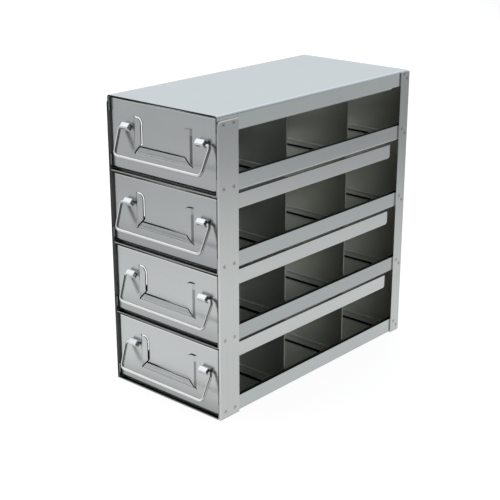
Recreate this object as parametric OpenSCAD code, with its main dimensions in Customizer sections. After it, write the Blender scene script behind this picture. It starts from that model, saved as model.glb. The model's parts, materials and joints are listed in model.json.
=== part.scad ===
// Upright freezer rack for microplates: a spot-welded sheet-steel frame with a
// shelf under every bay, and one open-sided sliding drawer in each bay.
// Millimetres, +Z up, front towards -Y. The origin is the centre of the base.

/* [Rack frame] */
// Width over the corner posts
rack_w = 140; // [130:1:170]
// Depth from the front edges to the back of the rear posts
rack_d = 289; // [270:1:330]
// Height of one bay, from the underside of one shelf to the next
bay_pitch = 71.75; // [64:0.25:90]
// Number of bays, each with its own drawer
bay_count = 4; // [2:1:6]
// Thickness of the shelf, top and bottom sheets
sheet_t = 1.2; // [1:0.1:1.5]
// Inside radius of the bends
bend_r = 1.2; // [0.8:0.1:1.6]
// Height of the turned-up side flanges of the shelves
shelf_flange_h = 16; // [12:0.5:20]
// Height of the turned-down side flanges of the top panel
top_flange_h = 15; // [12:0.5:20]
// Gap between the rear edge of the panels and the back leg of a rear post
panel_rear_gap = 2; // [1.3:0.1:3]

/* [Corner posts] */
// Thickness of the corner posts
post_t = 1.2; // [1:0.1:1.5]
// Width of the flat front posts
front_post_w = 26.5; // [22:0.5:32]
// Width of the side leg of the rear posts
rear_post_w = 16.4; // [14:0.2:20]
// Width of the leg that the rear posts turn across the back
rear_leg_w = 16.4; // [12:0.2:24]
// How far the front posts stop below the top surface
front_post_drop = 4.5; // [3:0.5:7]
// How far the rear posts stop below the top surface
rear_post_drop = 1.5; // [1:0.5:4]
// Radius of the upper front corner of the front posts
post_corner_r = 4; // [2:0.5:6]
// Radius of the lower rear corner of the rear posts
heel_r = 3.5; // [2:0.5:5]

/* [Spot welds] */
// Diameter of the mark that a spot weld leaves
weld_d = 3.4; // [2.5:0.1:4]
// Depth of the mark
weld_depth = 0.25; // [0.1:0.05:0.4]
// Height of a weld above the underside of its panel
weld_rise = 6.7; // [5.5:0.1:8]
// Distance of the first weld of a front post from the front edge
weld_inset = 7.2; // [5:0.1:9]
// Distance between the two welds of a pair on a front post
weld_spacing = 13; // [10:0.5:14]
// Distance of the rear weld of a rear post from the back of the rack
rear_weld_inset = 6; // [5:0.1:7]
// Step, sideways and upwards, between the two welds of a pair on a rear post
rear_weld_step = 5.2; // [4:0.1:6]

/* [Drawer body] */
// Clearance between a drawer and the flanges on each side
drawer_side_gap = 1.45; // [1:0.05:3]
// How far the drawer front stands behind the front edge of the frame
drawer_recess = 3; // [1:0.5:6]
// Clearance between the top of a drawer and the sheet above it
drawer_head_gap = 3; // [1.5:0.25:6]
// Running clearance between a drawer floor and its shelf
slide_gap = 0.3; // [0.2:0.1:0.6]
// Clearance between the rear edge of a drawer floor and the back legs
stop_gap = 0.3; // [0.2:0.1:1]
// Thickness of the drawer sheets
drawer_t = 1.2; // [1:0.1:1.5]
// Inside radius of the bend along the lower edge of the drawer front
front_bend_r = 0.6; // [0.3:0.1:1.2]
// Distance from the drawer front back to the front edge of the drawer floor
floor_setback = 2.8; // [0:0.2:5]
// Height of the low side walls of the drawer floor
lip_h = 14.9; // [10:0.1:18]
// How far the drawer floor runs on behind the back wall
floor_tail = 2.7; // [1:0.1:6]
// Number of compartments in a drawer
compartment_count = 3; // [2:1:4]
// Length of the foot that each divider turns forward on the floor
foot_l = 14.5; // [8:0.5:20]
// Height of the side rails
rail_h = 14.1; // [10:0.1:20]
// Distance from the rear end of the side rails to the back of the rack
rail_rear_gap = 25.5; // [18:0.5:60]
// Radius of the lower rear corner of the side rails
rail_corner_r = 3; // [1:0.5:6]
// Length of the tab that each side rail turns in behind the drawer front
rail_tab_l = 10; // [6:0.5:14]
// Depth of the flange that the drawer front turns back over the floor
front_foot_l = 12; // [6:0.5:16]

/* [Label holder] */
// Clear distance from the holder to the clip on either side of it
holder_clearance = 4.9; // [3:0.1:8]
// Height from the lower edge of the holder to the top of its side tabs
holder_h = 34.5; // [28:0.5:40]
// Height of the holder above the lower edge of the drawer front
holder_rise = 17.8; // [14:0.2:22]
// Width of the side tabs, from the bend to the free edge
side_tab_w = 10; // [7:0.5:12]
// Height of the bottom tab, from the bend to the free edge
bottom_tab_h = 7.8; // [6:0.2:10]
// How far the tabs stand out of the sheet
tab_rise = 1.4; // [1:0.1:2.5]
// Length of the slope by which a tab leaves the sheet
tab_slope_l = 2.6; // [1.5:0.1:4]
// Width of the slit round the free edges of a tab
slit_w = 0.8; // [0.5:0.1:1.2]
// Width of the mitre between a side tab and the bottom tab
mitre_w = 1.4; // [0.8:0.1:1.6]
// Radius of the upper free corner of a side tab
tab_corner_r = 5; // [3:0.5:7]

/* [Handle] */
// Distance of the handle's centre to the right of the drawer's centre
handle_offset = 2.8; // [0:0.2:4]
// Distance from the side edge of the drawer front to the centre of a clip
clip_inset = 19; // [17:0.5:24]
// Length of a clip along the wire
clip_l = 10; // [8:0.5:12]
// Width of the diamond-shaped clip across its flats
clip_w = 6.3; // [5.5:0.1:8]
// Thickness of the strip that a clip is folded from
clip_t = 1; // [0.8:0.1:1.2]
// How far a clip stands out of the drawer front
clip_reach = 7; // [6.2:0.1:7.6]
// Radius of the folds of a clip, outside
clip_fold_r = 1.3; // [1:0.1:1.6]
// Height of the clips above the lower edge of the drawer front
clip_rise = 42.8; // [38:0.2:48]
// Diameter of the bail wire
wire_d = 3; // [2.4:0.1:3.4]
// Running clearance between the wire and the clip that carries it
wire_gap = 0.1; // [0.05:0.01:0.2]
// Sideways play of a handle: the gap beside each clip when it hangs centred
side_play = 1.3; // [0.5:0.1:1.8]
// Where the top handle hangs in its play, from -1 at the left to 1 at the right
handle_1_side = 1; // [-1:0.1:1]
// Where the second handle hangs in its play
handle_2_side = -0.5; // [-1:0.1:1]
// Where the third handle hangs in its play
handle_3_side = 1; // [-1:0.1:1]
// Where the fourth handle hangs in its play
handle_4_side = -0.9; // [-1:0.1:1]
// How far each arm runs inwards on its way down to the bar
bail_taper = 2.2; // [0:0.1:3]
// Distance from the pivot to the bar of the bail
bail_l = 27.2; // [22:0.2:29]
// Radius of the upper bends of the bail, at the centre of the wire
upper_bend_r = 3.2; // [2.5:0.1:4]
// Radius of the lower bends of the bail, at the centre of the wire
lower_bend_r = 4.8; // [3:0.1:6]
// How much thicker the wire is in a bend than in a straight run
bend_swell = 0.04; // [0.02:0.01:0.1]
// How far the bail leans forward of straight down at rest
bail_lean = 22; // [10:1:40]
// Distance of the ends of the wire from the inner ends of the clips
wire_end_gap = 2; // [1.5:0.1:3]

/* [Hidden] */
$fn = 64;

STEEL = [0.74, 0.76, 0.77];
STEEL_DULL = [0.62, 0.64, 0.64];
POLISHED = [0.86, 0.87, 0.88];

SIDES = [["left", -1], ["right", 1]];
BAYS = [1:bay_count];
WALLS = [1:compartment_count];

function drawer_name(bay, piece) = str("drawer_", bay, "_", piece);
function wall_name(i) = i == compartment_count ? "back_wall" : str("divider_", i);

// A cut runs this far past the faces it opens
past = 1;

// Frame
rack_h = bay_count * bay_pitch;
front_y = -rack_d / 2;
panel_w = rack_w - 2 * post_t;
panel_d = rack_d - post_t - panel_rear_gap;
front_post_h = rack_h - front_post_drop;
rear_post_h = rack_h - rear_post_drop;
top_weld_z = rack_h - sheet_t - weld_rise;

// Drawer, with heights counted from the underside of its own shelf
drawer_w = panel_w - 2 * sheet_t - 2 * drawer_side_gap;
tray_z = sheet_t + slide_gap;
floor_z = tray_z + drawer_t;
drawer_top_z = bay_pitch - drawer_head_gap;
inside_w = drawer_w - 2 * drawer_t;
tray_end_y = rack_d - post_t - stop_gap;
front_back_y = drawer_recess + drawer_t;
back_wall_y = tray_end_y - floor_tail - drawer_t;
wall_pitch = (back_wall_y - front_back_y) / compartment_count;
rail_end_y = rack_d - rail_rear_gap;
rail_z = drawer_top_z - rail_h;
bend_outside_r = bend_r + drawer_t;
front_bend_outside_r = front_bend_r + drawer_t;
tray_start_y = front_back_y + floor_setback;
front_foot_w = inside_w - 2 * bend_outside_r;

// Label holder
clip_spacing = drawer_w - 2 * clip_inset;
holder_w = clip_spacing - clip_l - 2 * holder_clearance;
holder_z = floor_z + holder_rise;
holder_top_z = holder_z + holder_h;
holder_half_w = holder_w / 2;
tab_free_x = holder_half_w - side_tab_w;
tab_anchor = 0.5;
slope_steps = 8;

// Handle
clip_z = floor_z + clip_rise;
clip_half_diagonal = clip_w / sqrt(2);
clip_y = drawer_recess - clip_reach + clip_half_diagonal;
clip_inside_w = clip_w - 2 * clip_t;
wire_drop = sqrt(2) * (clip_inside_w / 2 - wire_d / 2 - wire_gap);
pivot_z = clip_z - wire_drop;
wire_start_x = (clip_spacing - clip_l) / 2 + wire_end_gap;
arm_splay = atan(bail_taper / bail_l);
arm_l = norm([bail_taper, bail_l]);
upper_turn = 90 + arm_splay;
lower_turn = 90 - arm_splay;
upper_tangent = upper_bend_r * tan(upper_turn / 2);
lower_tangent = lower_bend_r * tan(lower_turn / 2);
bail_top_half_w = (clip_spacing + clip_l) / 2 + side_play + upper_tangent;
bail_bar_half_w = bail_top_half_w - bail_taper;
run_lap = 0.15;
least_side_gap = 0.3;
handle_sides = [handle_1_side, handle_2_side, handle_3_side, handle_4_side];

function bay_z(bay) = (bay_count - bay) * bay_pitch;
function wall_y(i) = front_back_y + i * wall_pitch;
function handle_side(bay) = handle_sides[(bay - 1) % len(handle_sides)];

// Sheet profiles ------------------------------------------------------------

// A rectangle on the X axis with its two lower corners rounded
module trough(width, height, r) {
    translate([-width / 2, r]) square([width, height - r]);
    translate([-width / 2 + r, 0]) square([width - 2 * r, height]);
    for (side = [-1, 1]) translate([side * (width / 2 - r), r]) circle(r);
}

// A bent channel, open upwards, with its web on the X axis
module channel_profile(width, height, t) {
    difference() {
        trough(width, height, bend_r + t);
        translate([0, t]) trough(width - 2 * t, height, bend_r);
    }
}

// A rectangle with its corner at the origin rounded
module one_round_corner(width, height, r) {
    translate([r, 0]) square([width - r, height]);
    translate([0, r]) square([width, height - r]);
    translate([r, r]) circle(r);
}

// A bent angle with its outer corner at the origin and its legs along X and Y
module angle_profile(leg_x, leg_y, t, r = bend_r) {
    difference() {
        one_round_corner(leg_x, leg_y, r + t);
        translate([t, t]) one_round_corner(leg_x, leg_y, r);
    }
}

// Carries an X-Z outline along Y, from y to y + length
module along_depth(y, length) {
    translate([0, y + length, 0]) rotate([90, 0, 0]) linear_extrude(length) children();
}

// Carries a Y-Z outline along X, centred on x
module across_width(x, width) {
    translate([x - width / 2, 0, 0]) rotate([90, 0, 90]) linear_extrude(width) children();
}

// Places what is drawn with Y counted from the front edge of the frame
module from_front() {
    translate([0, front_y, 0]) children();
}

// Frame ---------------------------------------------------------------------

// A shelf: a channel with its side flanges turned up
module shelf(z) {
    color(STEEL)
        from_front()
        translate([0, 0, z])
        along_depth(0, panel_d)
        channel_profile(panel_w, shelf_flange_h, sheet_t);
}

// The top panel: the same channel turned over
module top_panel() {
    color(STEEL)
        from_front()
        translate([0, 0, rack_h])
        mirror([0, 0, 1])
        along_depth(0, panel_d)
        channel_profile(panel_w, top_flange_h, sheet_t);
}

// The shallow dish that a spot weld leaves in the outer face of a post
module weld_mark(y, z) {
    dish_r = (weld_d * weld_d / 4 + weld_depth * weld_depth) / (2 * weld_depth);
    translate([rack_w / 2 + dish_r - weld_depth, y, z]) sphere(dish_r);
}

// Heights of the first weld of each pair, one pair in every panel
function weld_levels() = concat([for (bay = BAYS) bay_z(bay) + weld_rise], [top_weld_z]);

// Right-hand front post: a flat strip on the outside of the flanges
module front_post_right() {
    color(STEEL)
    from_front()
    difference() {
        across_width((rack_w - post_t) / 2, post_t) difference() {
            square([front_post_w, front_post_h]);
            translate([0, front_post_h - post_corner_r]) difference() {
                translate([-past, 0]) square(post_corner_r + past);
                translate([post_corner_r, 0]) circle(post_corner_r);
            }
        }
        for (z = weld_levels()) for (i = [0, 1]) weld_mark(weld_inset + i * weld_spacing, z);
    }
}

// Right-hand rear post: an angle whose back leg stops the drawers
module rear_post_right() {
    color(STEEL)
    from_front()
    difference() {
        translate([rack_w / 2, rack_d, 0])
            rotate([0, 0, 180])
            linear_extrude(rear_post_h)
            angle_profile(rear_leg_w, rear_post_w, post_t);
        across_width(rack_w / 2, 2 * rear_leg_w + past) difference() {
            translate([rack_d - heel_r, -past]) square([heel_r + past, heel_r + past]);
            translate([rack_d - heel_r, heel_r]) circle(heel_r);
        }
        for (z = weld_levels()) for (i = [0, 1])
            weld_mark(rack_d - rear_weld_inset - i * rear_weld_step, z + i * rear_weld_step);
    }
}

// Drawer body ---------------------------------------------------------------

// Drawer floor with its low side walls
module tray(bay) {
    color(STEEL_DULL)
        from_front()
        translate([0, 0, bay_z(bay) + tray_z])
        along_depth(tray_start_y, tray_end_y - tray_start_y)
        channel_profile(drawer_w, lip_h, drawer_t);
}

// A divider or back wall: an angle whose foot points forward on the floor
module drawer_wall(bay, i) {
    color(STEEL_DULL)
        from_front()
        translate([0, wall_y(i) + drawer_t, bay_z(bay) + floor_z])
        mirror([0, 1, 0])
        across_width(0, inside_w)
        angle_profile(foot_l, drawer_top_z - floor_z, drawer_t);
}

// Right-hand side rail: a strip along the top edge, turned in behind the front
module rail_right(bay) {
    color(STEEL)
    from_front()
    translate([0, 0, bay_z(bay)])
    difference() {
        translate([drawer_w / 2, front_back_y, rail_z])
            mirror([1, 0, 0])
            linear_extrude(rail_h)
            angle_profile(rail_tab_l, rail_end_y - front_back_y, drawer_t);
        across_width(drawer_w / 2, 2 * rail_tab_l) difference() {
            translate([rail_end_y - rail_corner_r, rail_z - past])
                square(rail_corner_r + past);
            translate([rail_end_y - rail_corner_r, rail_z + rail_corner_r])
                circle(rail_corner_r);
        }
    }
}

// Drawer front and label holder ---------------------------------------------

// Height of a tab above the sheet at the distance v from its bend
function tab_height(v) =
    tab_rise * (1 - cos(180 * min(max(v / tab_slope_l, 0), 1))) / 2;

// Cross-section of a tab: X runs from the bend to the free edge, Y out of the sheet
module tab_profile(width) {
    stations = concat([-tab_anchor], [for (i = [0:slope_steps]) i * tab_slope_l / slope_steps], [width]);
    polygon(concat(
        [for (v = stations) [v, tab_height(v)]],
        [for (i = [len(stations) - 1:-1:0]) [stations[i], tab_height(stations[i]) - drawer_t]]
    ));
}

// Outline of the right-hand side tab, its free edges moved out by grow
module side_tab_outline(grow) {
    mitre = sqrt(2) * (mitre_w / 2 - grow);
    free_x = tab_free_x - grow;
    arc_z = holder_top_z - tab_corner_r;
    arc_x = tab_free_x + tab_corner_r;
    polygon([
        [holder_half_w, holder_z + mitre],
        [holder_half_w, holder_top_z + grow],
        [arc_x, holder_top_z + grow],
        [arc_x, arc_z],
        [free_x, arc_z],
        [free_x, holder_z + mitre + holder_half_w - free_x]
    ]);
    intersection() {
        translate([arc_x, arc_z]) circle(tab_corner_r + grow);
        translate([free_x, arc_z]) square(tab_corner_r + grow);
    }
}

// Outline of the bottom tab, its free edges moved out by grow
module bottom_tab_outline(grow) {
    half_w = holder_half_w - sqrt(2) * (mitre_w / 2 - grow);
    height = bottom_tab_h + grow;
    polygon([
        [-half_w, holder_z],
        [half_w, holder_z],
        [half_w - height, holder_z + height],
        [height - half_w, holder_z + height]
    ]);
}

// A tab is bent out along its whole bend line and then trimmed to its outline
module side_tab_right() {
    intersection() {
        translate([holder_half_w, 0, holder_z])
            rotate([0, 0, 180])
            linear_extrude(holder_h)
            tab_profile(side_tab_w);
        along_depth(-tab_rise - past, tab_rise + drawer_t + 2 * past) {
            side_tab_outline(0);
            translate([holder_half_w, holder_z + mitre_w])
                square([tab_anchor, holder_h - mitre_w]);
        }
    }
}

module bottom_tab() {
    intersection() {
        translate([-holder_half_w, 0, holder_z])
            rotate([180, -90, 0])
            linear_extrude(holder_w)
            tab_profile(bottom_tab_h);
        along_depth(-tab_rise - past, tab_rise + drawer_t + 2 * past) {
            bottom_tab_outline(0);
            translate([mitre_w - holder_half_w, holder_z - tab_anchor])
                square([holder_w - 2 * mitre_w, tab_anchor]);
        }
    }
}

// Drawer front: a flat sheet with a foot on the drawer floor, and three tabs
// lanced out of it that hold a label card, which slides in from above
module drawer_front(bay) {
    color(STEEL)
    from_front()
    translate([0, drawer_recess, bay_z(bay)]) {
        difference() {
            union() {
                translate([-drawer_w / 2, 0, floor_z + front_bend_outside_r])
                    cube([drawer_w, drawer_t, drawer_top_z - floor_z - front_bend_outside_r]);
                translate([0, 0, floor_z])
                    across_width(0, front_foot_w)
                    angle_profile(front_foot_l, drawer_top_z - floor_z, drawer_t, front_bend_r);
            }
            along_depth(-past, drawer_t + 2 * past) {
                side_tab_outline(slit_w);
                mirror([1, 0]) side_tab_outline(slit_w);
                bottom_tab_outline(slit_w);
            }
        }
        side_tab_right();
        mirror([1, 0, 0]) side_tab_right();
        bottom_tab();
    }
}

// Handle --------------------------------------------------------------------

// A square of side w standing on one corner, with round corners of radius r
module diamond(w, r) {
    rotate(45) {
        square([w, w - 2 * r], center = true);
        square([w - 2 * r, w], center = true);
        for (x = [-1, 1]) for (y = [-1, 1])
            translate([x * (w / 2 - r), y * (w / 2 - r)]) circle(r);
    }
}

// A clip: a strip folded round the wire, both ends welded to the drawer front
module clip(bay, side) {
    color(POLISHED)
    from_front()
    translate([0, 0, bay_z(bay)])
    intersection() {
        translate([0, clip_y, clip_z])
            across_width(handle_offset + side * clip_spacing / 2, clip_l)
            difference() {
                diamond(clip_w, clip_fold_r);
                diamond(clip_inside_w, clip_fold_r - clip_t);
            }
        translate([-rack_w / 2, -clip_reach, 0]) cube([rack_w, clip_reach + drawer_recess, bay_pitch]);
    }
}

// One bend of the wire: it comes in along +X and turns down through turn degrees
module wire_bend(turn, r) {
    translate([0, 0, -r])
        rotate([90, 0, 0])
        rotate([0, 0, 90 - turn])
        rotate_extrude(angle = turn)
        translate([r, 0])
        circle(d = wire_d + bend_swell);
}

// Lays straight runs and bends one after the other: legs holds the run, the turn
// after it and the radius of that turn. Each run reaches a little way into the
// bends at its ends.
module wire_path(legs, i = 0) {
    run = legs[i][0];
    turn = legs[i][1];
    r = legs[i][2];
    lap_in = i > 0 ? run_lap : 0;
    lap_out = turn > 0 ? run_lap : 0;
    translate([-lap_in, 0, 0])
        rotate([0, 90, 0])
        cylinder(d = wire_d, h = lap_in + run + lap_out);
    if (turn > 0) translate([run, 0, 0]) {
        wire_bend(turn, r);
        translate([r * sin(turn), 0, -r * (1 - cos(turn))])
            rotate([0, turn, 0])
            wire_path(legs, i + 1);
    }
}

// The bail handle: one bent wire whose ends turn in the clips. The path starts
// in the right-hand clip and runs outwards, down, along the bar and back up.
module bail(bay) {
    pin_run = bail_top_half_w - wire_start_x - upper_tangent;
    arm_run = arm_l - upper_tangent - lower_tangent;
    bar_run = 2 * (bail_bar_half_w - lower_tangent);
    shift = handle_side(bay) * (side_play - least_side_gap);
    color(POLISHED)
    from_front()
    translate([handle_offset + shift, clip_y, bay_z(bay) + pivot_z])
    rotate([-bail_lean, 0, 0])
    translate([wire_start_x, 0, 0])
    wire_path([
        [pin_run, upper_turn, upper_bend_r],
        [arm_run, lower_turn, lower_bend_r],
        [bar_run, lower_turn, lower_bend_r],
        [arm_run, upper_turn, upper_bend_r],
        [pin_run, 0]
    ]);
}

// Assembly ------------------------------------------------------------------

top_panel();
shelf(0);  // bottom_panel
for (i = [1:bay_count - 1])
    shelf(bay_z(i));
front_post_right();
mirror([1, 0, 0]) front_post_right();  // front_post_left
rear_post_right();
mirror([1, 0, 0]) rear_post_right();  // rear_post_left
for (bay = BAYS) {
    tray(bay);
    drawer_front(bay);
    rail_right(bay);
    mirror([1, 0, 0]) rail_right(bay);
    for (i = WALLS)
        drawer_wall(bay, i);
    for (s = SIDES)
        clip(bay, s[1]);
    bail(bay);
}
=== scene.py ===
"""Freezer storage rack: a spot-welded steel frame with four open-sided sliding drawers.

Metres, +Z up, the front towards -Y, the origin at the centre of the base.
"""

import json
import math

import bmesh
import bpy
import numpy as np
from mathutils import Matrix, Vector


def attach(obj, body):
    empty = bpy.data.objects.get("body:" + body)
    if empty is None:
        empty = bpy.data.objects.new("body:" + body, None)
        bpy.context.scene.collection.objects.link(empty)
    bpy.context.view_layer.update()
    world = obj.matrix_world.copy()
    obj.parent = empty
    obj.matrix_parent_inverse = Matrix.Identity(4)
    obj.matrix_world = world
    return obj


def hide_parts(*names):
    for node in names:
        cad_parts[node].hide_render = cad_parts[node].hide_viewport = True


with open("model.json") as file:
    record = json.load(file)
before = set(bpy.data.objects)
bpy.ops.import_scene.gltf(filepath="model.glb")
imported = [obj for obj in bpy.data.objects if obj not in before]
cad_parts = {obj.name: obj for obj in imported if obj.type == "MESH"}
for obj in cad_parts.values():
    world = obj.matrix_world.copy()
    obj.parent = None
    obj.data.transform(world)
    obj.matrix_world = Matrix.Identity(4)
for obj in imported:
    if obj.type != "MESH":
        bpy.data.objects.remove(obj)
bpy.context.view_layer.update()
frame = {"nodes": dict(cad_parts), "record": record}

# Camera -----------------------------------------------------------------------
# Stands to the front right of the rack and a little above it, level, on the
# axis through the middle of the rack. A long lens keeps the sides near parallel.
AZIMUTH = math.radians(41.47)
ELEVATION = math.radians(19.50)

lens = bpy.data.cameras.new("camera")
lens.lens = 82.08
lens.sensor_width = 36
camera = bpy.data.objects.new("camera", lens)
bpy.context.collection.objects.link(camera)
camera.location = (0.7143, -0.8322, 0.5016)
camera.rotation_euler = (math.pi / 2 - ELEVATION, 0, AZIMUTH)
bpy.context.scene.camera = camera
bpy.context.scene.view_settings.view_transform = "Standard"

# Studio floor -----------------------------------------------------------------
# A pale seamless floor under the rack that glows as a painted pool of light for camera, glossy and
# transmission rays. It is brightest under and behind the rack, widens along the view, and falls off
# to the sides and in front, where its diffuse paint is darker as painted shade.
FLOOR_DROP = 0.0002
FLOOR_REACH = 40
FLOOR_PAINT = (0.30, 0.30, 0.30)
FLOOR_PAINTED_SHADE_FRONT = (0.06, 0.06, 0.06)
POOL_MIDDLE = -0.04
POOL_FLARE = 0.22
POOL_SIDES = (0.25, 0.95)
POOL_LIGHT = 0.90
POOL_REST = 0.46
POOL_RIGHT = (0.55, 1.10)
POOL_RIGHT_REST = 0.74
POOL_FRONT = (-1.20, -0.36)
POOL_FRONT_REST = 0.25


class Nodes:
    """Builds the nodes of one tree: each call adds a node and returns what comes out of it."""

    def __init__(self, tree):
        self.tree = tree

    def add(self, kind, **settings):
        """A new node of that kind, with its settings."""
        node = self.tree.nodes.new(kind)
        for key, value in settings.items():
            setattr(node, key, value)
        return node

    def feed(self, socket, value):
        """Links an output to the socket, or sets the socket to a plain value."""
        if isinstance(value, bpy.types.NodeSocket):
            self.tree.links.new(value, socket)
        else:
            socket.default_value = value

    def math(self, operation, *values, clamp=False):
        """The result of a Math node."""
        node = self.add("ShaderNodeMath", operation=operation, use_clamp=clamp)
        for socket, value in zip(node.inputs, values):
            self.feed(socket, value)
        return node.outputs[0]

    def ramp(self, value, low, high, at_low, at_high, smooth=True):
        """The value carried from low..high to at_low..at_high, level outside that span."""
        kind = "SMOOTHSTEP" if smooth else "LINEAR"
        node = self.add("ShaderNodeMapRange", interpolation_type=kind)
        for socket, given in zip(node.inputs, (value, low, high, at_low, at_high)):
            self.feed(socket, given)
        return node.outputs[0]

    def mix(self, factor, first, second, blend="MIX"):
        """Two colours mixed by the factor."""
        node = self.add("ShaderNodeMix", data_type="RGBA", blend_type=blend)
        self.feed(node.inputs["Factor"], factor)
        for name, value in (("A", first), ("B", second)):
            socket = next(s for s in node.inputs if s.name == name and s.type == "RGBA")
            self.feed(socket, value if isinstance(value, bpy.types.NodeSocket) else (*value, 1))
        return next(s for s in node.outputs if s.type == "RGBA")

    def axes(self, vector):
        """The X, Y and Z of a vector."""
        node = self.add("ShaderNodeSeparateXYZ")
        self.feed(node.inputs[0], vector)
        return node.outputs


floor_mesh = bpy.data.meshes.new("studio_floor")
corners = np.array([(-1, -1, 0), (1, -1, 0), (1, 1, 0), (-1, 1, 0)]) * FLOOR_REACH
floor_mesh.from_pydata(corners - (0, 0, FLOOR_DROP), [], [(0, 1, 2, 3)])
floor = bpy.data.objects.new("studio_floor", floor_mesh)
bpy.context.collection.objects.link(floor)

floor_paint = bpy.data.materials.new("studio_floor")
floor_paint.use_nodes = True
floor_paint.node_tree.nodes.clear()
n = Nodes(floor_paint.node_tree)
turned = n.add("ShaderNodeVectorRotate", rotation_type="Z_AXIS")
turned.inputs["Angle"].default_value = -AZIMUTH
n.feed(turned.inputs["Vector"], n.add("ShaderNodeTexCoord").outputs["Object"])
across, along, _ = n.axes(turned.outputs[0])
aside = n.math("ABSOLUTE", n.math("SUBTRACT", across, POOL_MIDDLE))
wide = n.math("MULTIPLY_ADD", n.math("ABSOLUTE", along), -POOL_FLARE, aside)
pool = n.ramp(wide, *POOL_SIDES, POOL_LIGHT, POOL_REST, smooth=False)
pool = n.math("MULTIPLY", pool, n.ramp(across, *POOL_RIGHT, 1.0, POOL_RIGHT_REST))
front = n.ramp(along, *POOL_FRONT, POOL_FRONT_REST, 1.0)
path = n.add("ShaderNodeLightPath")
seen = n.math("ADD", path.outputs["Is Camera Ray"], path.outputs["Is Glossy Ray"], clamp=True)
seen = n.math("ADD", seen, path.outputs["Is Transmission Ray"], clamp=True)
# Painted pool of light: the floor glows for camera, glossy and transmission rays.
glow = n.add("ShaderNodeEmission")
n.feed(glow.inputs["Strength"], n.math("MULTIPLY", seen, n.math("MULTIPLY", pool, front)))
# Painted shade: the diffuse paint is darker far in front.
paint = n.add("ShaderNodeBsdfDiffuse")
n.feed(paint.inputs["Color"], n.mix(front, FLOOR_PAINTED_SHADE_FRONT, FLOOR_PAINT))
both = n.add("ShaderNodeAddShader")
n.feed(both.inputs[0], paint.outputs[0])
n.feed(both.inputs[1], glow.outputs[0])
n.feed(n.add("ShaderNodeOutputMaterial").inputs["Surface"], both.outputs[0])
floor_mesh.materials.append(floor_paint)

# Studio light -----------------------------------------------------------------
# Walls that are white to the left and behind the rack and dark grey to the right
# and in front, a little dimmer near the floor. A faint soft lamp high on the left
# draws the highlights on the clips and the wire.
WALL_LIGHT = (0.97, 1.0, 1.03)
WALL_DARK = (0.15, 0.15, 0.15)
WALL_BRIGHT_SIDE = (-0.85, 0.53, 0)
WALL_TURN = (-0.45, 0.30)
WALL_RISE = (0.12, 0.22)
WALL_LOW = 0.72
LAMP_PLACE = (-1.05, -0.75, 1.45)
LAMP_AIM = (0, -0.1, 0.14)
LAMP_SIZE = (0.9, 0.7)
LAMP_POWER = 0.6

world = bpy.data.worlds.new("studio")
bpy.context.scene.world = world
world.use_nodes = True
n = Nodes(world.node_tree)
outward = n.add("ShaderNodeTexCoord").outputs["Generated"]
away = n.add("ShaderNodeVectorMath", operation="DOT_PRODUCT")
n.feed(away.inputs[0], outward)
away.inputs[1].default_value = WALL_BRIGHT_SIDE
bright = n.ramp(away.outputs["Value"], *WALL_TURN, 0.0, 1.0)
rise = n.ramp(n.axes(outward)[2], *WALL_RISE, WALL_LOW, 1.0, smooth=False)
bright = n.math("MULTIPLY", bright, rise)
backdrop = world.node_tree.nodes["Background"]
n.feed(backdrop.inputs["Color"], n.mix(bright, WALL_DARK, WALL_LIGHT))

lamp = bpy.data.lights.new("left_softbox", "AREA")
lamp.shape = "RECTANGLE"
lamp.size, lamp.size_y = LAMP_SIZE
lamp.energy = LAMP_POWER
softbox = bpy.data.objects.new("left_softbox", lamp)
bpy.context.collection.objects.link(softbox)
softbox.location = LAMP_PLACE
aim = Vector(LAMP_AIM) - Vector(LAMP_PLACE)
softbox.rotation_euler = aim.to_track_quat("-Z", "Y").to_euler()

# Shelves and top panel --------------------------------------------------------
# Five channels folded from stainless sheet and spot-welded to the posts: the top panel with its
# flanges down, and four shelves with their flanges turned up. The sheet is satin, its grain runs
# level, and sheared edges are eased. Painted light and shade: each panel's flanks are lighter or
# darker, with darker lines where the posts meet them; the bends carry painted shade or a painted
# highlight; the flange tops, the sill in front of each drawer, the top panel's front cut edge and
# the far ends of the cut edges are painted dark as painted shade.
PANELS = ("top_panel", "shelf_1", "shelf_2", "shelf_3", "bottom_panel")
PANEL_COLOUR = (0.535, 0.575, 0.592)
PANEL_ROUGHNESS = 0.20
GRAIN_PITCH = 0.0011
GRAIN_RUN = 0.12
GRAIN_SHADE = 0.10
GRAIN_WEAR = 0.05
GRAIN_DEPTH = 0.0001
BRUSHED_TURN = 0.25
LEVEL_GRAIN = (1 / GRAIN_RUN, 1 / GRAIN_RUN, 1 / GRAIN_PITCH)
FLAT_GRAIN = (1 / GRAIN_PITCH, 1 / GRAIN_RUN, 1)
FLAT_LEAN = 0.7
CLOUD_SIZE = 0.045
CLOUD_SHADE = 0.10
CLOUD_WEAR = 0.16
EDGE_EASE = 0.00022
EDGE_ANGLE = math.radians(50)
FLAT_ANGLE = math.radians(0.4)
SHARP_ANGLE = math.radians(24)
FLAT_WIDTH = 0.00045
FLANK_FACES = (0.75, 0.95)
# Painted light and shade: each panel's side flanks are made lighter or darker by its own tone.
FLANK_PAINTED_LIGHT = (1.13, 0.86, 0.76, 0.67, 0.83)
FLANK_TINT = (1.0, 0.985, 0.965)
# Painted shade: a darker line where each post edge meets the flanks.
POST_EDGES = (-0.1176, 0.1277)
CONTACT_WIDTH = (0.0002, 0.0008)
CONTACT_PAINTED_SHADE = 0.70
# Painted shade on the top panel's left and rear bends and the shelves' low bends, a painted
# highlight on the top panel's right bend.
LEFT_BEND = ((-0.99, -0.9), (-0.45, -0.2))
RIGHT_BEND = ((0.15, 0.3), (0.4, 0.55))
REAR_BEND = (0.2, 0.5)
LOW_BEND = (-0.15, -0.5)
BEND_PAINTED_SHADE = 0.45
BEND_PAINTED_HIGHLIGHT = 1.4
FLANGE_X = 0.067
TOP_FACES = (0.6, 0.9)
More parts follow.
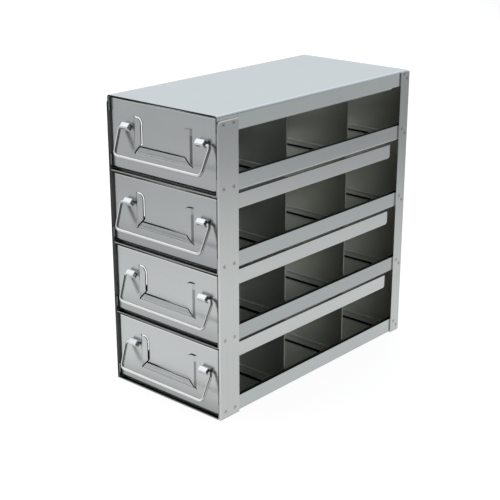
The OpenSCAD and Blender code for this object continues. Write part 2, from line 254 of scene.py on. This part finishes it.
# Painted shade: the flange tops are near black, as the gap beside them.
FLANGE_TOP_PAINTED_SHADE = (0.02, 0.02, 0.02)
# Painted shade on the sill in front of each drawer.
SILL_Y = -0.1402
SILL_PAINTED_SHADE = 0.30
CUT_FACES = (-0.25, -0.6)
# Front cut edges: the top panel's near-black one is painted shade, as the gap below it; the others
# take a listed grey.
CUT_TONES = (0.02, 0.46, 0.42, 0.36, 0.40)
CUT_TINT = (1.0, 0.97, 0.93)
CUT_ROUGHNESS = 0.55
FAR_END_PAINTED_SHADE = 0.16

bodies = frame["record"]["behaviour"]["bodies"]
body_of = {name: body for body, names in bodies.items() for name in names}


def ease_edges(piece, width):
    """Rounds the sheared edges of a piece over, as deburring does."""
    ease = piece.modifiers.new("eased_edges", "BEVEL")
    ease.width = width
    ease.segments = 2
    ease.limit_method = "ANGLE"
    ease.angle_limit = EDGE_ANGLE


def eased(name, width=EDGE_EASE):
    """A welded copy of a CAD node with its edges rounded over, which stands for the node.

    A face is shaded flat where its area over its rim is more than FLAT_WIDTH, which picks the
    sheet's broad faces and leaves the narrow facets of bends and wire smooth."""
    shape = bmesh.new()
    shape.from_mesh(frame["nodes"][name].data)
    bmesh.ops.remove_doubles(shape, verts=shape.verts, dist=2e-6)
    bmesh.ops.dissolve_limit(shape, angle_limit=FLAT_ANGLE, verts=shape.verts, edges=shape.edges)
    bmesh.ops.recalc_face_normals(shape, faces=shape.faces)
    mesh = bpy.data.meshes.new(name + "_eased")
    shape.to_mesh(mesh)
    shape.free()
    if "custom_normal" in mesh.attributes:
        mesh.attributes.remove(mesh.attributes["custom_normal"])
    mesh.set_sharp_from_angle(angle=SHARP_ANGLE)
    place = [vertex.co for vertex in mesh.vertices]
    for face in mesh.polygons:
        rim = sum((place[start] - place[end]).length for start, end in face.edge_keys)
        face.use_smooth = face.area < FLAT_WIDTH * rim
    piece = bpy.data.objects.new(name + "_eased", mesh)
    bpy.context.collection.objects.link(piece)
    ease_edges(piece, width)
    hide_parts(name)
    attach(piece, body_of[name])
    return piece


def sheet_group():
    """The finish of rolled sheet. Grain is noise drawn out level on upright faces and lengthwise on
    flat ones; handling clouds are slow noise. Both shade the colour and the roughness a little."""
    group = bpy.data.node_groups.new("rolled_sheet", "ShaderNodeTree")
    for name, way, kind in (
        ("Colour", "INPUT", "Color"),
        ("Roughness", "INPUT", "Float"),
        ("Wear", "INPUT", "Float"),
        ("Grain", "INPUT", "Vector"),
        ("Lengthwise", "INPUT", "Float"),
        ("Colour", "OUTPUT", "Color"),
        ("Roughness", "OUTPUT", "Float"),
        ("Height", "OUTPUT", "Float"),
    ):
        group.interface.new_socket(name, in_out=way, socket_type="NodeSocket" + kind)
    n = Nodes(group)
    given = n.add("NodeGroupInput").outputs
    place = n.add("ShaderNodeTexCoord")
    flat = n.math("ABSOLUTE", n.axes(place.outputs["Normal"])[2])
    flat = n.math("GREATER_THAN", flat, FLAT_LEAN)
    flat = n.math("MULTIPLY", flat, given["Lengthwise"])
    level = n.add("ShaderNodeVectorMath", operation="MULTIPLY")
    n.feed(level.inputs[0], place.outputs["Object"])
    n.feed(level.inputs[1], given["Grain"])
    lengthwise = n.add("ShaderNodeVectorMath", operation="MULTIPLY")
    n.feed(lengthwise.inputs[0], place.outputs["Object"])
    lengthwise.inputs[1].default_value = FLAT_GRAIN
    run = n.add("ShaderNodeMix", data_type="VECTOR")
    n.feed(run.inputs["Factor"], flat)
    sides = [s for s in run.inputs if s.type == "VECTOR"]
    n.feed(sides[-2], level.outputs[0])
    n.feed(sides[-1], lengthwise.outputs[0])
    grain = n.add("ShaderNodeTexNoise")
    n.feed(grain.inputs["Vector"], next(s for s in run.outputs if s.type == "VECTOR"))
    grain.inputs["Scale"].default_value = 1.0
    grain.inputs["Detail"].default_value = 3.0
    cloud = n.add("ShaderNodeTexNoise")
    n.feed(cloud.inputs["Vector"], place.outputs["Object"])
    cloud.inputs["Scale"].default_value = 1 / CLOUD_SIZE
    cloud.inputs["Detail"].default_value = 4.0
    streak = n.math("SUBTRACT", grain.outputs[0], 0.5)
    patch = n.math("SUBTRACT", cloud.outputs[0], 0.5)
    shade = n.math("MULTIPLY_ADD", patch, CLOUD_SHADE, 1.0)
    shade = n.math("MULTIPLY_ADD", streak, GRAIN_SHADE, shade)
    tone = n.add("ShaderNodeVectorMath", operation="SCALE")
    n.feed(tone.inputs[0], given["Colour"])
    n.feed(tone.inputs["Scale"], shade)
    worn = n.math("MULTIPLY", patch, given["Wear"])
    rough = n.math("MULTIPLY_ADD", worn, CLOUD_WEAR, given["Roughness"])
    rough = n.math("MULTIPLY_ADD", streak, GRAIN_WEAR, rough)
    result = n.add("NodeGroupOutput")
    n.feed(result.inputs["Colour"], tone.outputs[0])
    n.feed(result.inputs["Roughness"], rough)
    n.feed(result.inputs["Height"], grain.outputs[0])
    return group


rolled_sheet = sheet_group()


def steel(
    name, colour, roughness, wear=1.0, grain=0.10, brushed=0.0, run=LEVEL_GRAIN, lengthwise=1.0
):
    """A brushed steel material, its node builder, its shader and what its finish puts out."""
    material = bpy.data.materials.new(name)
    material.use_nodes = True
    n = Nodes(material.node_tree)
    shader = material.node_tree.nodes["Principled BSDF"]
    shader.inputs["Metallic"].default_value = 1
    shader.inputs["Anisotropic"].default_value = brushed
    shader.inputs["Anisotropic Rotation"].default_value = BRUSHED_TURN if brushed else 0.0
    finish = n.add("ShaderNodeGroup", node_tree=rolled_sheet)
    n.feed(finish.inputs["Colour"], (*colour, 1))
    n.feed(finish.inputs["Roughness"], roughness)
    n.feed(finish.inputs["Wear"], wear)
    n.feed(finish.inputs["Grain"], run)
    n.feed(finish.inputs["Lengthwise"], lengthwise)
    bump = n.add("ShaderNodeBump")
    bump.inputs["Strength"].default_value = grain
    bump.inputs["Distance"].default_value = GRAIN_DEPTH
    n.feed(bump.inputs["Height"], finish.outputs["Height"])
    n.feed(shader.inputs["Base Color"], finish.outputs["Colour"])
    n.feed(shader.inputs["Roughness"], finish.outputs["Roughness"])
    n.feed(shader.inputs["Normal"], bump.outputs[0])
    return material, n, shader, finish.outputs


def paint_light_and_shade(n, colour, share, tone):
    """The colour, times the tone where the share is 1: painted shade where the tone is below 1, a
    painted highlight where it is above 1.
    """
    return n.mix(share, colour, tone if isinstance(tone, tuple) else (tone,) * 3, "MULTIPLY")


def turned(n, part, start, full):
    """The faces turned one way: 0 where that part of the normal is short of start, 1 past full."""
    if start < full:
        return n.ramp(part, start, full, 0.0, 1.0)
    return n.ramp(part, full, start, 1.0, 0.0)


def between(n, part, rise, fall):
    """The faces of a bend: 1 from the end of the rise to the beginning of the fall."""
    return n.math("MULTIPLY", n.ramp(part, *rise, 0.0, 1.0), n.ramp(part, *fall, 1.0, 0.0))


for name, flank_light, cut_tone in zip(PANELS, FLANK_PAINTED_LIGHT, CUT_TONES):
    panel_steel, n, shader, finish = steel(name + "_steel", PANEL_COLOUR, PANEL_ROUGHNESS)
    place = n.add("ShaderNodeTexCoord")
    x, y, _ = n.axes(place.outputs["Object"])
    facing = n.axes(place.outputs["Normal"])
    flank = turned(n, n.math("ABSOLUTE", facing[0]), *FLANK_FACES)
    # Painted light and shade on the side flanks.
    colour = paint_light_and_shade(n, finish["Colour"], flank, tuple(flank_light * part for part in FLANK_TINT))
    # Painted shade along the post edges.
    for edge in POST_EDGES:
        off = n.math("ABSOLUTE", n.math("SUBTRACT", y, edge))
        contact_shade = n.math("MULTIPLY", flank, n.ramp(off, *CONTACT_WIDTH, 1.0, 0.0))
        colour = paint_light_and_shade(n, colour, contact_shade, CONTACT_PAINTED_SHADE)
    if name == "top_panel":
        # Painted shade on the left and rear bends, a painted highlight on the right bend.
        colour = paint_light_and_shade(n, colour, between(n, facing[0], *LEFT_BEND), BEND_PAINTED_SHADE)
        colour = paint_light_and_shade(n, colour, turned(n, facing[1], *REAR_BEND), BEND_PAINTED_SHADE)
        colour = paint_light_and_shade(n, colour, between(n, facing[0], *RIGHT_BEND), BEND_PAINTED_HIGHLIGHT)
    else:
        # Painted shade: the upward faces of the flanges are near black.
        upward = turned(n, facing[2], *TOP_FACES)
        flange = n.math("GREATER_THAN", n.math("ABSOLUTE", x), FLANGE_X)
        colour = n.mix(n.math("MULTIPLY", flange, upward), colour, FLANGE_TOP_PAINTED_SHADE)
        # Painted shade on the sill in front of the drawer.
        sill_shade = n.math("MULTIPLY", n.math("LESS_THAN", y, SILL_Y), upward)
        colour = paint_light_and_shade(n, colour, sill_shade, SILL_PAINTED_SHADE)
        # Painted shade on the low bends.
        colour = paint_light_and_shade(n, colour, turned(n, facing[2], *LOW_BEND), BEND_PAINTED_SHADE)
    cut = turned(n, facing[1], *CUT_FACES)
    # Painted shade: the cut edges are darker at the far, left end.
    far_end = n.math("LESS_THAN", x, -FLANGE_X)
    cut_colour = tuple(cut_tone * part for part in CUT_TINT)
    cut_colour = paint_light_and_shade(n, cut_colour, far_end, FAR_END_PAINTED_SHADE)
    n.feed(shader.inputs["Base Color"], n.mix(cut, colour, cut_colour))
    n.feed(shader.inputs["Roughness"], n.ramp(cut, 0.0, 1.0, finish["Roughness"], CUT_ROUGHNESS))
    eased(name).data.materials.append(panel_steel)

# Corner posts -----------------------------------------------------------------
# Flat strips at the front and angles at the rear, cut from the same sheet. Spot
# welds join them to every panel: each leaves a shallow dish ringed with brown.
REAR_POSTS = ("rear_post_left", "rear_post_right")
POST_COLOUR = (0.498, 0.519, 0.513)
REAR_COLOUR = (0.465, 0.485, 0.478)
POST_ROUGHNESS = 0.21
POST_GRAIN = (1 / GRAIN_PITCH, 1 / GRAIN_PITCH, 1 / GRAIN_RUN)
HEAT_COLOUR = (0.20, 0.165, 0.13)
HEAT_SPOT = (0.0008, 0.0027)
HEAT_STRENGTH = 0.62
BAY_PITCH = 0.07175
FIRST_WELD = 0.0067
TOP_WELD = 0.2791
FRONT_WELDS = (-0.1373, -0.1243)
REAR_WELDS = (0.1385, 0.1333)
REAR_STEP = 0.0052
INNER_FACES = (0.4, 0.8)
INNER_COLOUR = (0.40, 0.41, 0.40)
INNER_METAL = 0.1
INNER_ROUGHNESS = 0.45
LEFT_CUT_FACES = (-0.3, -0.7)
LEFT_CUT_PAINTED_SHADE = (0.018, 0.020, 0.019)
TOP_EDGE_FACES = (0.1, 0.3)
EDGE_PAINTED_HIGHLIGHT = (0.95, 0.95, 0.95)
CORNER_CENTRE = (-0.1405, 0.2785)
RIM_REACH = (0.0025, 0.0030)
RIM_RISE = 0.002
RIM_SIDE = 0.15
HEEL_RISE = (0.0004, 0.0008)
HEEL_PAINTED_SHADOW = 0.40
REAR_BEND_FACES = (0.1, 0.3)


def heat_tint(n, colour, welds, steps):
    """The colour with a brown spot at every weld: rows a bay apart, and one at the top panel."""
    _, y, z = n.axes(n.add("ShaderNodeTexCoord").outputs["Object"])
    nearest = 1.0
    for weld_y, step in zip(welds, steps):
        low = n.math("SUBTRACT", z, FIRST_WELD + step)
        row = n.math("ABSOLUTE", n.math("WRAP", low, BAY_PITCH / 2, -BAY_PITCH / 2))
        top = n.math("ABSOLUTE", n.math("SUBTRACT", z, TOP_WELD + step))
        rise = n.math("MINIMUM", row, top)
        side = n.math("SUBTRACT", y, weld_y)
        reach = n.math("ADD", n.math("POWER", rise, 2.0), n.math("MULTIPLY", side, side))
        nearest = n.math("MINIMUM", n.math("SQRT", reach), nearest)
    return n.mix(n.ramp(nearest, *HEAT_SPOT, HEAT_STRENGTH, 0.0), colour, HEAT_COLOUR)


# The left front post turns its inner face and its cut edge to the drawers. The inner face is a
# dull, nearly non-metallic grey, and the cut edge is painted near black as painted shade.
post_steel, n, shader, finish = steel(
    "front_post_left_steel", POST_COLOUR, POST_ROUGHNESS, run=POST_GRAIN
)
colour = heat_tint(n, finish["Colour"], FRONT_WELDS, (0, 0))
facing = n.axes(n.add("ShaderNodeTexCoord").outputs["Normal"])
inner = turned(n, facing[0], *INNER_FACES)
cut = turned(n, facing[1], *LEFT_CUT_FACES)
dull = n.math("MAXIMUM", inner, cut)
colour = n.mix(inner, n.mix(cut, colour, LEFT_CUT_PAINTED_SHADE), INNER_COLOUR)
n.feed(shader.inputs["Base Color"], colour)
n.feed(shader.inputs["Metallic"], n.ramp(inner, 0.0, 1.0, 1.0, INNER_METAL))
n.feed(shader.inputs["Roughness"], n.ramp(dull, 0.0, 1.0, finish["Roughness"], INNER_ROUGHNESS))
eased("front_post_left").data.materials.append(post_steel)

# The right one has a painted highlight along its top and round its upper corner, and its upward cut
# face is painted white and non-metallic as a painted highlight.
post_steel, n, shader, finish = steel(
    "front_post_right_steel", POST_COLOUR, POST_ROUGHNESS, run=POST_GRAIN
)
colour = heat_tint(n, finish["Colour"], FRONT_WELDS, (0, 0))
place = n.add("ShaderNodeTexCoord")
_, y, z = n.axes(place.outputs["Object"])
ahead = n.math("MAXIMUM", n.math("SUBTRACT", CORNER_CENTRE[0], y), 0.0)
above = n.math("MAXIMUM", n.math("SUBTRACT", z, CORNER_CENTRE[1]), 0.0)
reach = n.math("MULTIPLY_ADD", ahead, ahead, n.math("MULTIPLY", above, above))
rim = n.ramp(n.math("SQRT", reach), *RIM_REACH, 0.0, 1.0)
rim = n.math("MULTIPLY", rim, n.ramp(above, 0.0, RIM_RISE, RIM_SIDE, 1.0))
# Painted highlight: the upward cut face is white and non-metallic.
sheared = turned(n, n.axes(place.outputs["Normal"])[2], *TOP_EDGE_FACES)
colour = n.mix(n.math("MAXIMUM", rim, sheared), colour, EDGE_PAINTED_HIGHLIGHT)
# Painted shadow along the lowest part of the post.
colour = paint_light_and_shade(n, colour, n.ramp(z, *HEEL_RISE, 1.0, 0.0), HEEL_PAINTED_SHADOW)
n.feed(shader.inputs["Base Color"], colour)
n.feed(shader.inputs["Metallic"], n.ramp(sheared, 0.0, 1.0, 1.0, 0.0))
eased("front_post_right").data.materials.append(post_steel)

for name in REAR_POSTS:
    post_steel, n, shader, finish = steel(
        name + "_steel", REAR_COLOUR, POST_ROUGHNESS, run=POST_GRAIN
    )
    colour = heat_tint(n, finish["Colour"], REAR_WELDS, (0, REAR_STEP))
    facing = n.axes(n.add("ShaderNodeTexCoord").outputs["Normal"])
    # Painted shade on the outside of the rear bend.
    backward = turned(n, facing[1], *REAR_BEND_FACES)
    sideways = turned(n, n.math("ABSOLUTE", facing[0]), *REAR_BEND_FACES)
    bend = n.math("MULTIPLY", backward, sideways)
    n.feed(shader.inputs["Base Color"], paint_light_and_shade(n, colour, bend, BEND_PAINTED_SHADE))
    eased(name).data.materials.append(post_steel)

# Drawer bodies ----------------------------------------------------------------
# The tray, the dividers and the back wall of each drawer: duller mill-finish sheet, folded and
# spot-welded, scuffed inside. Painted shade: faces turned to the right are darker, forward faces
# darken towards the right, and the floor is painted black along the side walls and in front of each
# folded foot.
DRAWERS = (1, 2, 3, 4)
BODY_PIECES = ("tray", "divider_1", "divider_2", "back_wall")
BODY_COLOUR = (0.50, 0.505, 0.465)
BODY_ROUGHNESS = 0.32
BODY_WEAR = 1.6
RIGHT_FACES = (0.6, 0.9)
BODY_RIGHT_PAINTED_SHADE = 0.30
FRONT_FACES = (-0.6, -0.9)
WALL_FADE = (0.025, 0.066)
WALL_PAINTED_SHADE = 0.62
FLOOR_FACES = (0.5, 0.8)
LIP_X = 0.0646
FOOT_FRONTS = (-0.06047, 0.03267, 0.12580)
FOOT_SHADE = 0.0022
FOOT_LAP = 0.0002
PAINTED_SHADE_BLACK = (0.012, 0.012, 0.012)

body_steel, n, shader, finish = steel(
    "drawer_body_steel", BODY_COLOUR, BODY_ROUGHNESS, wear=BODY_WEAR
)
place = n.add("ShaderNodeTexCoord")
facing = n.axes(place.outputs["Normal"])
x, y, _ = n.axes(place.outputs["Object"])
# Painted shade: faces turned to the right are darker, and forward faces darken towards the right.
colour = paint_light_and_shade(n, finish["Colour"], turned(n, facing[0], *RIGHT_FACES), BODY_RIGHT_PAINTED_SHADE)
forward = turned(n, facing[1], *FRONT_FACES)
faded_shade = n.math("MULTIPLY", forward, n.ramp(x, *WALL_FADE, 0.0, 1.0))
colour = paint_light_and_shade(n, colour, faded_shade, WALL_PAINTED_SHADE)
# Painted shade: the floor is black along the side walls and in front of each foot.
upward = turned(n, facing[2], *FLOOR_FACES)
painted_crease_shade = n.math("MULTIPLY", upward, n.math("GREATER_THAN", n.math("ABSOLUTE", x), LIP_X))
for edge in FOOT_FRONTS:
    off = n.math("ABSOLUTE", n.math("SUBTRACT", y, edge - FOOT_SHADE / 2 + FOOT_LAP))
    near = n.math("LESS_THAN", off, FOOT_SHADE / 2 + FOOT_LAP)
    near = n.math("MULTIPLY", near, n.math("MAXIMUM", upward, forward))
    painted_crease_shade = n.math("MAXIMUM", painted_crease_shade, near)
n.feed(shader.inputs["Base Color"], n.mix(painted_crease_shade, colour, PAINTED_SHADE_BLACK))
for k in DRAWERS:
    for piece in BODY_PIECES:
        eased(f"drawer_{k}_{piece}").data.materials.append(body_steel)

# Side rails -------------------------------------------------------------------
# A strip along the top edge of each side, turned in behind the drawer front and welded there. Its
# sheared top edge is painted black as painted shade, and the inner face of the left one is painted
# darker as painted shade.
RAIL_PIECES = ("rail_left", "rail_right")
RAIL_COLOUR = (0.50, 0.52, 0.515)
RAIL_ROUGHNESS = 0.22
INSIDE_FACES = (0.5, 0.9)
INSIDE_PAINTED_SHADE = 0.42

rail_steel, n, shader, finish = steel("rail_steel", RAIL_COLOUR, RAIL_ROUGHNESS)
place = n.add("ShaderNodeTexCoord")
facing = n.axes(place.outputs["Normal"])
left = n.math("LESS_THAN", n.axes(place.outputs["Object"])[0], 0.0)
inside = n.math("MULTIPLY", turned(n, facing[0], *INSIDE_FACES), left)
# Painted shade on the inner face of the left rail.
colour = paint_light_and_shade(n, finish["Colour"], inside, INSIDE_PAINTED_SHADE)
# Painted shade: the top edges are black.
sheared = turned(n, facing[2], *TOP_FACES)
n.feed(shader.inputs["Base Color"], n.mix(sheared, colour, PAINTED_SHADE_BLACK))
for k in DRAWERS:
    for piece in RAIL_PIECES:
        eased(f"drawer_{k}_{piece}").data.materials.append(rail_steel)

# Drawer fronts ----------------------------------------------------------------
# Satin sheet, its grain level, so that what it mirrors is smeared up and down. A foot along its
# lower edge is welded to the tray. Three tabs lanced out of the sheet hold a label card, and the
# slits round them are painted near black as painted shade. Painted light and shade: each front is
# darker towards the bottom, its top edge has a thin painted highlight, its right edge a dark line,
# and the sloped sides of the tabs are darker.
FRONT_COLOUR = (0.500, 0.522, 0.518)
FRONT_TONES = (0.98, 0.92, 1.02, 1.01)
FRONT_ROUGHNESS = 0.24
FRONT_BRUSHED = 0.85
DRAWER_RISE = 0.0027
FOOT_RISE = 0.030
FRONT_LOW_PAINTED_SHADE = (0.94, 0.76, 0.72, 0.66)
HEAD_LINE = (0.0651, 0.0654)
HEAD_PAINTED_HIGHLIGHT = 1.35
SIDE_LINE = (0.0644, 0.0650)
SIDE_PAINTED_SHADE = 0.30
HOLDER_HALF_W = 0.0385
HOLDER_SPAN = (0.0165, 0.0465)
SLIT_FACES = (0.8, 0.5)
SLIT_PAINTED_SHADE = (0.015, 0.015, 0.015)
TAB_SLOPE = ((0.2, 0.4), (0.6, 0.8))
SLOPE_PAINTED_SHADE = 0.55
HEAD_EDGE = 0.0640
HEAD_FACES = (0.99, 0.90)

for k, tone, low_shade in zip(DRAWERS, FRONT_TONES, FRONT_LOW_PAINTED_SHADE):
    front_steel, n, shader, finish = steel(
        f"drawer_{k}_front_steel",
        tuple(part * tone for part in FRONT_COLOUR),
        FRONT_ROUGHNESS,
        brushed=FRONT_BRUSHED,
    )
    place = n.add("ShaderNodeTexCoord")
    facing = n.axes(place.outputs["Normal"])
    x, _, z = n.axes(place.outputs["Object"])
    rise = n.math("SUBTRACT", z, (4 - k) * BAY_PITCH + DRAWER_RISE)
    # Painted shade: the front is darker towards the bottom.
    colour = paint_light_and_shade(n, finish["Colour"], n.ramp(rise, 0.0, FOOT_RISE, 1.0, 0.0), low_shade)
    # Painted highlight along the top edge.
    colour = paint_light_and_shade(n, colour, n.ramp(rise, *HEAD_LINE, 0.0, 1.0), HEAD_PAINTED_HIGHLIGHT)
    holder = n.math("LESS_THAN", n.math("ABSOLUTE", x), HOLDER_HALF_W)
    holder = n.math("MULTIPLY", holder, n.math("GREATER_THAN", rise, HOLDER_SPAN[0]))
    holder = n.math("MULTIPLY", holder, n.math("LESS_THAN", rise, HOLDER_SPAN[1]))
    slope = n.math("MULTIPLY", between(n, facing[0], *TAB_SLOPE), holder)
    # Painted shade on the sloped sides of the tabs.
    colour = paint_light_and_shade(n, colour, slope, SLOPE_PAINTED_SHADE)
    # Painted shade: a dark line along the right edge.
    colour = paint_light_and_shade(n, colour, n.ramp(x, *SIDE_LINE, 0.0, 1.0), SIDE_PAINTED_SHADE)
    level = n.math("ABSOLUTE", facing[1])
    slit = n.math("MULTIPLY", turned(n, level, *SLIT_FACES), holder)
    # Painted shade: the slits round the tabs are near black.
    n.feed(shader.inputs["Base Color"], n.mix(slit, colour, SLIT_PAINTED_SHADE))
    head = n.math("GREATER_THAN", rise, HEAD_EDGE)
    head = n.math("MULTIPLY", head, turned(n, level, *HEAD_FACES))
    dull = n.math("MAXIMUM", slit, head)
    n.feed(shader.inputs["Roughness"], n.ramp(dull, 0.0, 1.0, finish["Roughness"], CUT_ROUGHNESS))
    eased(f"drawer_{k}_front").data.materials.append(front_steel)

# Head folds -------------------------------------------------------------------
# The top edge of each drawer front is turned back level, which stiffens it and
# shuts most of the gap under the panel above. It ends short of the side rails.
FOLD_HALF_L = 0.0545
FOLD_START = -0.1409
FRONT_BACK = -0.1403
FOLD_END = -0.1346
FOLD_THICK = 0.0012
FOLD_INSIDE_R = 0.0006
FOLD_TOP = 0.06596
FOLD_STEPS = 5
SMALL_EASE = 0.00015


def head_fold(k):
    """The fold of drawer k: one outline across the sheet, carried along X and closed at both ends.
    Its inside corner is a quarter circle, y = the back of the front + r (1 - cos t) and z = the
    underside - r (1 - sin t), with t from 0 to a quarter turn."""
    top = (4 - k) * BAY_PITCH + DRAWER_RISE + FOLD_TOP
    under = top - FOLD_THICK
    t = np.linspace(0, math.pi / 2, FOLD_STEPS + 1)
    bend_y = FRONT_BACK + FOLD_INSIDE_R * (1 - np.cos(t))
    bend_z = under - FOLD_INSIDE_R * (1 - np.sin(t))
    y = np.concatenate(([FOLD_START, FOLD_START], bend_y, [FOLD_END, FOLD_END]))
    z = np.concatenate(([top, under - FOLD_INSIDE_R], bend_z, [under, top]))
    count = len(y)
    ends = np.repeat((-FOLD_HALF_L, FOLD_HALF_L), count)
    points = np.column_stack((ends, np.tile(y, 2), np.tile(z, 2)))
    here = np.arange(count)
    after = np.roll(here, -1)
    sides = np.column_stack((here, count + here, count + after, after))
    faces = [here.tolist(), (count + here[::-1]).tolist(), *sides.tolist()]
    mesh = bpy.data.meshes.new(f"drawer_{k}_head_fold")
    mesh.from_pydata(points, [], faces)
    shape = bmesh.new()
    shape.from_mesh(mesh)
    bmesh.ops.recalc_face_normals(shape, faces=shape.faces)
    shape.to_mesh(mesh)
    shape.free()
    return mesh


fold_steel = steel("head_fold_steel", RAIL_COLOUR, RAIL_ROUGHNESS)[0]
for k in DRAWERS:
    fold = bpy.data.objects.new(f"drawer_{k}_head_fold", head_fold(k))
    bpy.context.collection.objects.link(fold)
    ease_edges(fold, SMALL_EASE)
    fold.data.materials.append(fold_steel)
    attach(fold, body_of[f"drawer_{k}_front"])

# Clips ------------------------------------------------------------------------
# Two strips per drawer, folded to a diamond, electropolished and welded to the front. Each holds
# one end of the wire handle. Their downward faces are painted a little lighter as painted light.
CLIP_PIECES = ("clip_left", "clip_right")
CLIP_COLOUR = (0.70, 0.71, 0.72)
CLIP_ROUGHNESS = 0.16
CLIP_GRAIN = 0.05
CLIP_UNDER_FACES = (-0.2, -0.5)
CLIP_UNDER_PAINTED_LIGHT = 1.05

clip_steel, n, shader, finish = steel(
    "clip_steel", CLIP_COLOUR, CLIP_ROUGHNESS, grain=CLIP_GRAIN, lengthwise=0.0
)
facing = n.axes(n.add("ShaderNodeTexCoord").outputs["Normal"])
under = turned(n, facing[2], *CLIP_UNDER_FACES)
# Painted light: the downward faces are a little lighter.
n.feed(shader.inputs["Base Color"], paint_light_and_shade(n, finish["Colour"], under, CLIP_UNDER_PAINTED_LIGHT))
for k in DRAWERS:
    for piece in CLIP_PIECES:
        eased(f"drawer_{k}_{piece}", SMALL_EASE).data.materials.append(clip_steel)

# Bail handles -----------------------------------------------------------------
# One polished wire per drawer, bent to a bail whose ends turn in the clips. It is painted darker
# underneath and on its right side as painted shade.
WIRE_COLOUR = (0.80, 0.80, 0.785)
WIRE_ROUGHNESS = 0.20
WIRE_GRAIN = 0.04
WIRE_UNDER_FACES = (0.05, -0.45)
WIRE_UNDER_PAINTED_SHADE = 0.52
WIRE_RIGHT_FACES = (0.2, 0.7)
WIRE_RIGHT_PAINTED_SHADE = 0.60

wire_steel, n, shader, finish = steel(
    "wire_steel", WIRE_COLOUR, WIRE_ROUGHNESS, grain=WIRE_GRAIN, lengthwise=0.0
)
facing = n.axes(n.add("ShaderNodeTexCoord").outputs["Normal"])
under = turned(n, facing[2], *WIRE_UNDER_FACES)
# Painted shade underneath and on the right side.
colour = paint_light_and_shade(n, finish["Colour"], under, WIRE_UNDER_PAINTED_SHADE)
right = turned(n, facing[0], *WIRE_RIGHT_FACES)
n.feed(shader.inputs["Base Color"], paint_light_and_shade(n, colour, right, WIRE_RIGHT_PAINTED_SHADE))
for k in DRAWERS:
    eased(f"drawer_{k}_bail", SMALL_EASE).data.materials.append(wire_steel)
